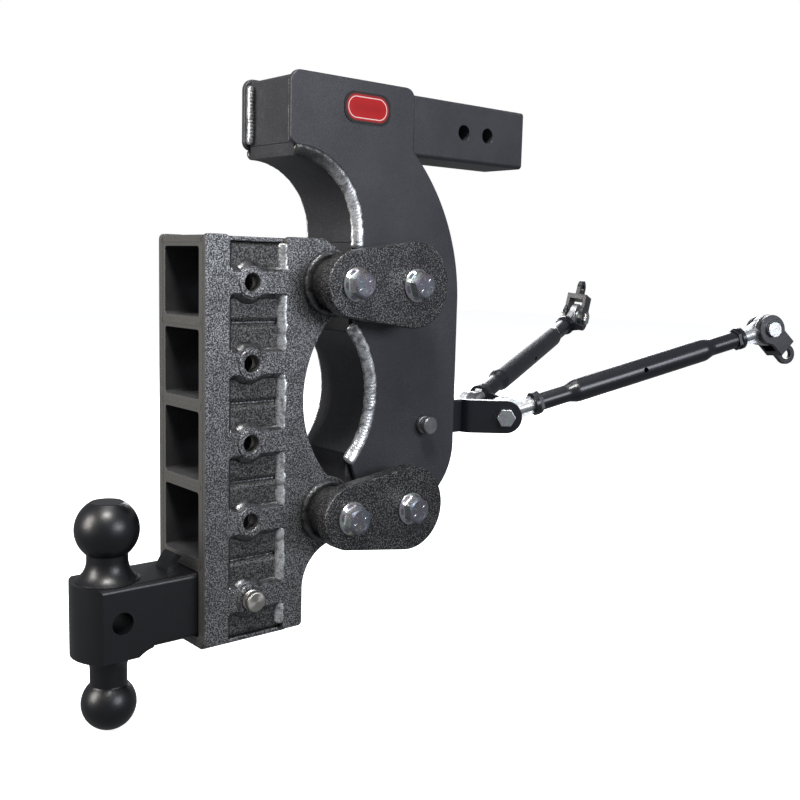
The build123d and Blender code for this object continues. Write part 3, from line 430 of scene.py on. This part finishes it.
def plain_finish(name, low, high, rough_low, rough_high, metallic=0.0, grain=0.002):
    finish = Finish(name)
    cloud = finish.noise(grain * 6, 3)
    grit = finish.noise(grain, 2)
    finish.colour(finish.ramp(cloud, (0.3, low), (0.7, high)))
    finish.set(metallic=metallic)
    finish.rough(grit, rough_low, rough_high)
    finish.bump(grit, grain * 0.05)
    return finish.material


LOOKS = {
    "stack_paint": hammered_paint("stack_paint", 0.0013, 0.018, 0.12, 0.46, (0.96, 0.97, 1.0), True),
    "axle_paint": hammered_paint("axle_paint", 0.0022, 0.016, 0.050, 0.14, (0.96, 0.96, 1.0)),
    "link_paint": hammered_paint("link_paint", 0.0014, 0.003, 0.014, 0.30, (0.97, 0.96, 1.0)),
    "frame_paint": satin_paint(),
    "receiver_paint": receiver_paint(),
    "forged_black": black_paint("forged_black", (0.0026, 0.0029, 0.0048), 0.0012, 0.00012, 0.32, 0.44),
    "black_paint": black_paint("black_paint", (0.008, 0.009, 0.013), 0.0010, 0.00006, 0.24, 0.36),
    "zinc": zinc_plate("zinc"),
    "bolt_zinc": zinc_plate("bolt_zinc", 0.35),
    "forged_zinc": forged_zinc(),
    "stainless": turned_steel(),
    "weld": weld_metal("weld", (0.30, 0.30, 0.31), (0.85, 0.86, 0.87)),
    "painted_weld": weld_metal("painted_weld", (0.05, 0.05, 0.052), (0.13, 0.13, 0.135)),
    "rubber": plain_finish("rubber", (0.012, 0.012, 0.012), (0.03, 0.03, 0.03), 0.7, 0.85),
    "bushing": plain_finish("bushing", (0.55, 0.53, 0.46), (0.72, 0.70, 0.62), 0.4, 0.5),
    "bar_steel": plain_finish("bar_steel", (0.20, 0.20, 0.21), (0.34, 0.34, 0.35), 0.32, 0.46, 0.9),
}

# ---- finish of each CAD node --------------------------------------------------------------
NODE_LOOKS = {
    "stack_paint": ("stack_plate_near", "stack_plate_far", "stack_cap_plates", "stack_back_plate",
                    "pin_hole_rings"),
    "axle_paint": ("stack_torsion_tubes", "frame_torsion_tubes"),
    "receiver_paint": ("receiver_tubes",),
    "link_paint": ("upper_link_near", "upper_link_far", "lower_link_near", "lower_link_far"),
    "frame_paint": ("shank_plate_near", "shank_plate_far", "front_cover_plate", "top_cover_plate",
                    "upper_curve_plate", "lower_curve_plate", "back_curve_plate", "shank_spacer_bars",
                    "axle_closing_plates", "stabilizer_socket", "shank_bar"),
    "forged_black": ("ball_mount_block", "tow_ball_large", "tow_ball_small"),
    "black_paint": ("stabilizer_tube", "stabilizer_fork", "arm_tube_near", "arm_tube_far", "pin_lock",
                    "arm_jam_nuts_near", "arm_jam_nuts_far", "clamp_near", "clamp_far"),
    "forged_zinc": ("inner_rod_end_near", "inner_rod_end_far", "outer_rod_end_near", "outer_rod_end_far"),
    "zinc": ("fork_bolts", "fork_spacers", "fork_nuts", "arm_ball_near", "arm_ball_far",
             "clamp_pin_near", "clamp_pin_far", "pin_clip"),
    "bar_steel": ("upper_torsion_bars", "lower_torsion_bars", "stabilizer_pin"),
    "rubber": ("frame_rubber_cords", "stack_rubber_cords"),
    "bushing": ("frame_bushings", "stack_bushings"),
}


def clear_normals(mesh):
    """Lets smooth shading come from the mesh itself, not from the imported normals."""
    custom = mesh.attributes.get("custom_normal")
    if custom:
        mesh.attributes.remove(custom)
    mesh.shade_smooth()


def ease_edges(piece, width):
    """Rounds the piece's sharp edges with modifiers, so they catch the light."""
    weld = piece.modifiers.new("join", "WELD")
    weld.merge_threshold = 1e-6
    flat = piece.modifiers.new("flatten", "DECIMATE")
    flat.decimate_type = "DISSOLVE"
    flat.angle_limit = radians(0.6)
    bevel = piece.modifiers.new("ease", "BEVEL")
    bevel.width = width
    bevel.segments = 2
    bevel.limit_method = "ANGLE"
    bevel.angle_limit = radians(38)
    bevel.use_clamp_overlap = True
    normals = piece.modifiers.new("even", "WEIGHTED_NORMAL")
    normals.keep_sharp = True


PLATE_EASE = 0.0018         # the frame's flame-cut side plates
FINE_EASE = 0.0007


def dress_nodes():
    for look, names in NODE_LOOKS.items():
        for name in names:
            piece = nodes[name]
            piece.data.materials.clear()
            piece.data.materials.append(LOOKS[look])
            clear_normals(piece.data)
            ease_edges(piece, PLATE_EASE if name.startswith("shank_plate") else FINE_EASE)


# ---- meshes made in code ------------------------------------------------------------------
def new_piece(name, vertices, faces, look, body, replaced_slot, sharp=35, origin=(0, 0, 0)):
    mesh = bpy.data.meshes.new(name)
    mesh.from_pydata(vertices, [], faces)
    mesh.validate()
    mesh.shade_smooth()
    mesh.set_sharp_from_angle(angle=radians(sharp))
    mesh.materials.append(LOOKS[look])
    piece = bpy.data.objects.new(name, mesh)
    piece.location = origin
    bpy.context.scene.collection.objects.link(piece)
    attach(piece, body)
    return piece


def loft(rings, closed=False):
    """Vertices and faces of a skin over rings of equal length, capped unless closed on itself."""
    count = len(rings[0])
    vertices = [point for ring in rings for point in ring]
    faces = []
    last = len(rings) if closed else len(rings) - 1
    for i in range(last):
        for j in range(count):
            a = i * count + j
            b = i * count + (j + 1) % count
            c = (i + 1) % len(rings) * count
            faces.append((a, b, c + (j + 1) % count, c + j))
    if not closed:
        faces.append(tuple(range(count))[::-1])
        faces.append(tuple((len(rings) - 1) * count + j for j in range(count)))
    return vertices, faces


def merge(parts):
    """Several (vertices, faces) as one."""
    vertices, faces = [], []
    for more_vertices, more_faces in parts:
        start = len(vertices)
        vertices += more_vertices
        faces += [tuple(start + i for i in face) for face in more_faces]
    return vertices, faces


# ---- weld beads ---------------------------------------------------------------------------
BEAD_STEP = 0.0007
BEAD_SIDES = 18


def bead(path, half_width, half_height, seed, ripple=0.07, lumps=0.16, pitch=0.0034, closed=False):
    """A rippled bead along path, a list of (point, direction across, direction outwards)."""
    rings = []
    travelled = 0.0
    for i, (point, across, outwards) in enumerate(path):
        if i:
            travelled += (point - path[i - 1][0]).length
        ends = 1.0
        if not closed:
            left = min(i, len(path) - 1 - i) * BEAD_STEP
            ends = min(1.0, 0.35 + (left / half_width) ** 0.5)
        ring = []
        for k in range(BEAD_SIDES):
            angle = 2 * pi * k / BEAD_SIDES
            lag = 0.8 * half_width * sin(angle) if sin(angle) > 0 else 0
            wave = abs(sin(pi * (travelled + lag) / pitch))
            place = point / 0.006 + Vector((seed, 0, angle))
            size = ends * (1 + ripple * (2 * wave - 1) + lumps * noise.noise(place))
            skin = across * cos(angle) * half_width + outwards * sin(angle) * half_height
            ring.append(point + skin * size)
        rings.append(ring)
    return loft(rings, closed)


def line_path(start, end, across, outwards):
    count = max(4, round((end - start).length / BEAD_STEP))
    return [(start.lerp(end, i / count), across, outwards) for i in range(count + 1)]


def arc_path(centre, radius, start, sweep, y, tilt, side):
    """Path along an arc in an upright plane; tilt turns the bead's face from the side towards the centre."""
    count = max(8, round(abs(radians(sweep)) * radius / BEAD_STEP))
    path = []
    full = abs(sweep) >= 360
    for i in range(count if full else count + 1):
        angle = radians(start + sweep * i / count)
        radial = Vector((cos(angle), 0, sin(angle)))
        sideways = Vector((0, side, 0))
        across = radial * cos(tilt) + sideways * sin(tilt)
        outwards = sideways * cos(tilt) - radial * sin(tilt)
        path.append((spot(centre[0], 0, centre[1]) + radial * radius + sideways * y, across, outwards))
    return path


def axle_bead(x, z, side, seed):
    """Fat painted bead round an axle tube, on the outside of a side plate."""
    path = arc_path((x, z), AXLE_R + 0.0018, 0, 360, FACE + 0.0016, radians(40), side)
    return bead(path, 0.0054, 0.0040, seed, ripple=0.04, lumps=0.10, pitch=0.0042, closed=True)


LEG = 0.0024                # from a window's edge, and from the tube, to the middle of its fillet weld


def bar_path(level, side, way):
    """Path along one edge of a pin-hole bar, above it (way 1) or below (-1), humped round the hole's ring."""
    rise = BAR_HALF + LEG
    reach = RING_R + LEG
    turn = degrees(atan2(rise, (reach ** 2 - rise ** 2) ** 0.5))
    across = Vector((0, -side, way)).normalized()
    outwards = Vector((0, side, way)).normalized()
    y = side * (HALF + LEG)
    z = level * PITCH
    sweep = way * (2 * turn - 180)
    ring = arc_path((PIN_X, z), reach, 180 - way * turn, sweep, HALF + LEG, radians(-45), side)
    start = line_path(spot(WINDOW_FRONT + LEG, y, z + way * rise), ring[0][0], across, outwards)
    end = line_path(ring[-1][0], spot(WINDOW_BACK - LEG, y, z + way * rise), across, outwards)
    return start[:-1] + ring + end[1:]


def window_heights(level):
    """Heights of the foot and the top of the window below a bar."""
    low = max((level - 1) * PITCH + BAR_HALF, STACK_FOOT + 0.006)
    high = min(level * PITCH - BAR_HALF, STACK_TOP - 0.006)
    return low, high


COVER_SET = 0.0042          # from a cover plate's free edge to the middle of its weld
COVER_PROUD = 0.0024        # and from the side plates' inner face
COVER_FRONT = 0.0970        # front face of the front cover plate, and its bead's foot and top
COVER_FOOT = 0.440
COVER_TOP = 0.497
UPPER_SWEEP = (0, 93)       # start and sweep of the hollows' beads, in degrees
LOWER_SWEEP = (-45, 89)
BEAD_FOOT = 0.016           # the upper hollow's bead runs this far straight down, behind the link


def hollow_path(arc, sweep, side):
    """Path along one of the frame's hollows, leaning in over its curved plate."""
    return arc_path(arc, arc[2] - COVER_SET, *sweep, HALF + COVER_PROUD, radians(28), side)


def cover_bead(side):
    """Upright bead beside the front cover plate, full on the far side and thin on the near one."""
    size = 1.0 if side > 0 else 0.45
    x = COVER_FRONT - 0.0020 * size
    y = side * (HALF - COVER_SET * size)
    across = Vector((0.5, side * 0.866, 0))
    outwards = Vector((-0.866, side * 0.5, 0))
    path = line_path(spot(x, y, COVER_FOOT), spot(x, y, COVER_TOP), across, outwards)
    return bead(path, 0.0056 * size, 0.0034 * size, 9 + side)


def frame_beads():
    bright, dark = [], []
    for side in (-1, 1):
        wide = 0.0064 if side < 0 else 0.0052
        upper = hollow_path(UPPER_ARC, UPPER_SWEEP, side)
        root, across, outwards = upper[0]
        foot = line_path(root - Vector((0, 0, BEAD_FOOT)), root, across, outwards)
        for path, seed in ((foot[:-1] + upper, 1), (hollow_path(LOWER_ARC, LOWER_SWEEP, side), 5)):
            bright.append(bead(path, wide, 0.0028, seed + side, ripple=0.04, lumps=0.14))
        bright.append(cover_bead(side))
        dark += [axle_bead(FRAME_AXLE_X, z, side, 13 + side + z) for z in AXLE_Z]
    return bright, dark


def window_beads(side, level):
    """The silver bead down the back of a window and the painted one down its front."""
    low, high = window_heights(level)
    y = side * (HALF + LEG)
    back = WINDOW_BACK - LEG
    front = WINDOW_FRONT + LEG
    back_corner = (Vector((1, side, 0)).normalized(), Vector((-1, side, 0)).normalized())
    front_corner = (Vector((1, -side, 0)).normalized(), Vector((1, side, 0)).normalized())
    silver = bead(line_path(spot(back, y, low), spot(back, y, high), *back_corner),
                  0.0050, 0.0022, level + side, ripple=0.06, lumps=0.24, pitch=0.0040)
    painted = bead(line_path(spot(front, y, low), spot(front, y, high), *front_corner),
                   0.0036, 0.0010, 60 + level + side, ripple=0.02, lumps=0.10)
    return silver, painted


def tube_bead(side, level):
    """Bead along the seam between two receivers, seen through a window."""
    y = side * (HALF - 0.0042)
    z = (level + 0.5) * PITCH
    path = line_path(spot(WINDOW_FRONT + 0.001, y, z), spot(WINDOW_BACK - 0.004, y, z),
                     Vector((0, 0, 1)), Vector((0, side, 0)))
    return bead(path, 0.0030, 0.0018, 20 + level + side, ripple=0.08, lumps=0.24, pitch=0.0045)


def bar_bead(side, level, way):
    """Painted fillet along one edge of a pin-hole bar."""
    return bead(bar_path(level, side, way), 0.0036, 0.0010, 40 + level + side + way, ripple=0.02, lumps=0.12)


def stack_beads():
    bright, dark = [], []
    for side in (-1, 1):
        for level in range(RECEIVERS + 1):
            silver, painted = window_beads(side, level)
            bright.append(silver)
            dark.append(painted)
        dark += [tube_bead(side, level) for level in range(RECEIVERS - 1)]
        dark += [axle_bead(STACK_AXLE_X, z, side, 31 + side + z) for z in AXLE_Z]
        dark += [bar_bead(side, level, way) for level in range(RECEIVERS) for way in (-1, 1)]
    return bright, dark


SEAM_PROUD = 0.00025
SEAM_EASE = 0.0008          # slope round a ground seam's edge
SEAM_ROOT = 0.002
CROSS_SEAM = 0.0030         # half widths of the seams across the face and down its sides
SIDE_SEAM = 0.0026


def rectangle(x, y_from, y_to, z_from, z_to):
    return [Vector((x, y, z)) for y, z in ((y_from, z_from), (y_to, z_from), (y_to, z_to), (y_from, z_to))]


def add_ground_seams():
    """Flush ground welds that close the seams on the stack's front face."""
    strips = []
    for level in range(RECEIVERS + 1):
        z = LOW + (level - 0.5) * PITCH
        strips.append((-HALF, HALF, z - CROSS_SEAM, z + CROSS_SEAM))
    for y in (-HALF, HALF):
        strips.append((y - SIDE_SEAM, y + SIDE_SEAM, LOW + STACK_FOOT + 0.001, LOW + STACK_TOP - 0.003))
    parts = []
    for y_from, y_to, z_from, z_to in strips:
        foot = rectangle(FRONT + SEAM_ROOT, y_from, y_to, z_from, z_to)
        face = rectangle(FRONT - SEAM_PROUD, y_from + SEAM_EASE, y_to - SEAM_EASE,
                         z_from + SEAM_EASE, z_to - SEAM_EASE)
        parts.append(loft([foot, face]))
    new_piece("ground_seams", *merge(parts), "receiver_paint", "receiver_stack", "stack_paint")


def add_beads():
    for (bright, dark), node, body in ((frame_beads(), "frame_weld_beads", "shank_frame"),
                                       (stack_beads(), "stack_weld_beads", "receiver_stack")):
        silver = new_piece(node + "_bright", *merge(bright), "weld", body, "weld", 80)
        painted = new_piece(node + "_painted", *merge(dark), "painted_weld", body, "weld", 80)
        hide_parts(node)
        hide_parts(node)


# ---- flange bolts -------------------------------------------------------------------------
FLANGE_R = 0.0165
HEAD_AF = 0.024             # across the head's flats
HEAD_TOP = 0.0148
FLAT_R = 0.0106             # the flat face inside the chamfer
CHAMFER = tan(radians(30))
DISH = 0.0003
DASH = ((0.0048, 0.0003), (0.0052, 0.00055), (0.0084, 0.00055), (0.0088, 0.0003))   # distance, half width
BOLT_TURNS = ((STACK_AXLE_X, 0.30), (FRAME_AXLE_X, 0.55))       # how far each head was tightened, in radians
SAMPLES = 96


def circle(radius, z):
    angles = [2 * pi * k / SAMPLES for k in range(SAMPLES)]
    return [Vector((radius * cos(angle), radius * sin(angle), z)) for angle in angles]


def hex_radius(angle, turn):
    """Distance from the centre of a hexagon to its side, in the direction of angle."""
    part = (angle - turn) % (pi / 3) - pi / 6
    return HEAD_AF / 2 / cos(part)


def hexagon(turn, z, grow=0.0, slope=0.0):
    """Ring round a head's hexagon. Outside the flat face it falls away with the slope."""
    ring = []
    for k in range(SAMPLES):
        angle = 2 * pi * k / SAMPLES
        radius = hex_radius(angle, turn) + grow
        drop = max(0.0, radius - FLAT_R) * slope
        ring.append(Vector((radius * cos(angle), radius * sin(angle), z - drop)))
    return ring


def bolt_head(turn):
    """Flange, chamfered hexagon and shallow dish, along +Z from the seat at 0."""
    flange = [circle(FLANGE_R - 0.0004, 0), circle(FLANGE_R, 0.0005), circle(FLANGE_R, 0.0016),
              circle(FLANGE_R - 0.0005, 0.0022)]
    head = [hexagon(turn, 0.0040, grow=0.0006), hexagon(turn, 0.0050), hexagon(turn, HEAD_TOP, slope=CHAMFER)]
    face = [circle(FLAT_R, HEAD_TOP), circle(FLAT_R - 0.0012, HEAD_TOP),
            circle(FLAT_R - 0.0016, HEAD_TOP - DISH), circle(0.001, HEAD_TOP - DISH)]
    return loft(flange + head + face)


def bolt_marks(turn):
    """Six plain radial dashes that stand up from the dish of a bolt head."""
    foot = Vector((0, 0, HEAD_TOP - 0.0004))
    crown = Vector((0, 0, HEAD_TOP + 0.0002))
    parts = []
    for mark in range(6):
        angle = turn + mark * pi / 3
        along = Vector((cos(angle), sin(angle), 0))
        aside = Vector((-sin(angle), cos(angle), 0))
        dash = []
        for distance, wide in DASH:
            middle = along * distance
            dash.append([middle - aside * wide + foot, middle + aside * wide + foot,
                         middle + aside * wide * 0.6 + crown, middle - aside * wide * 0.6 + crown])
        parts.append(loft(dash))
    return merge(parts)


def seated(part, seat, side):
    """A part made along +Z, stood outwards on a link's face on one side of the hitch."""
    vertices, faces = part
    outwards = Matrix(((1, 0, 0), (0, 0, side), (0, 1, 0)))
    return [seat + outwards @ v for v in vertices], [f[::-1] for f in faces] if side > 0 else faces


def add_bolts():
    kinds = ((bolt_head, "bolt_zinc", "flange_bolts"), (bolt_marks, "zinc", "bolt_marks"))
    for z, name in zip(AXLE_Z, ("lower", "upper")):
        for make, look, kind in kinds:
            parts = [seated(make(turn + z), spot(x, side * LINK_OUTER, z), side)
                     for side in (-1, 1) for x, turn in BOLT_TURNS]
            piece = new_piece(f"{name}_{kind}", *merge(parts), look, f"{name}_links", "zinc", 28)
            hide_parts(f"{name}_link_bolts")


# ---- hitch pin ----------------------------------------------------------------------------
PIN_R = 0.00794
PIN_TIP = ((0.0004, 0.066), (PIN_R - 0.0015, 0.066), (PIN_R, 0.0645), (PIN_R, -0.0462))     # radius, Y
PIN_COLLAR = ((0.0094, -0.0464), (0.0099, -0.0469), (0.0099, -0.0484), (0.0084, -0.0490))
PIN_HEAD = ((0.0084, -0.0511), (0.0098, -0.0516), (0.0100, -0.0520), (0.0100, -0.0557),
            (0.0097, -0.0564), (0.0090, -0.0569), (0.0086, -0.0570), (0.0004, -0.0568))


def add_hitch_pin():
    """Turned pin with a groove behind its flat head. Its own axis is Y, through its origin."""
    rings = []
    for radius, y in PIN_TIP + PIN_COLLAR + PIN_HEAD:
        rings.append([Vector((point.x, y, point.y)) for point in circle(radius, 0)])
    pin = new_piece("turned_hitch_pin", *loft(rings), "stainless", "hitch_pin", "stainless", 30,
                    spot(PIN_X, 0, 0))
    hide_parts("hitch_pin")


# ---- badge --------------------------------------------------------------------------------
BADGE_RED = (0.50, 0.012, 0.012)
BADGE_LINE = (0.85, 0.85, 0.84)
BADGE_EDGE = (0.02, 0.02, 0.02)


def badge_finish():
    """Gloss red label with a pale rim line and a darker edge, drawn by distance from the pill's spine."""
    low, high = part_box("badge")
    middle = (low + high) / 2
    half_height = (high.z - low.z) / 2
    spine = (high.x - low.x) / 2 - half_height
    finish = Finish("badge")
    parts = finish.node("ShaderNodeSeparateXYZ")
    finish.link(finish.place, parts.inputs[0])

    calc = finish.calc
    sideways = calc("ABSOLUTE", calc("SUBTRACT", parts.outputs[0], middle.x))
    along = calc("MAXIMUM", calc("SUBTRACT", sideways, spine))
    height = calc("SUBTRACT", parts.outputs[2], middle.z)
    distance = calc("SQRT", calc("ADD", calc("MULTIPLY", along, along), calc("MULTIPLY", height, height)))
    share = calc("DIVIDE", distance, half_height)
    finish.colour(finish.ramp(share, (0.0, (0.34, 0.006, 0.008)), (0.60, (0.42, 0.009, 0.010)),
                              (0.64, BADGE_RED), (0.67, BADGE_LINE), (0.72, BADGE_RED), (0.90, BADGE_EDGE)))
    finish.set(roughness=0.35, specular_ior_level=0.3)
    return finish.material


def dress_badge():
    piece = nodes["badge"]
    piece.data.materials.clear()
    piece.data.materials.append(badge_finish())


add_camera()
add_studio()
add_floor()
dress_nodes()
add_beads()
add_ground_seams()
add_bolts()
add_hitch_pin()
dress_badge()
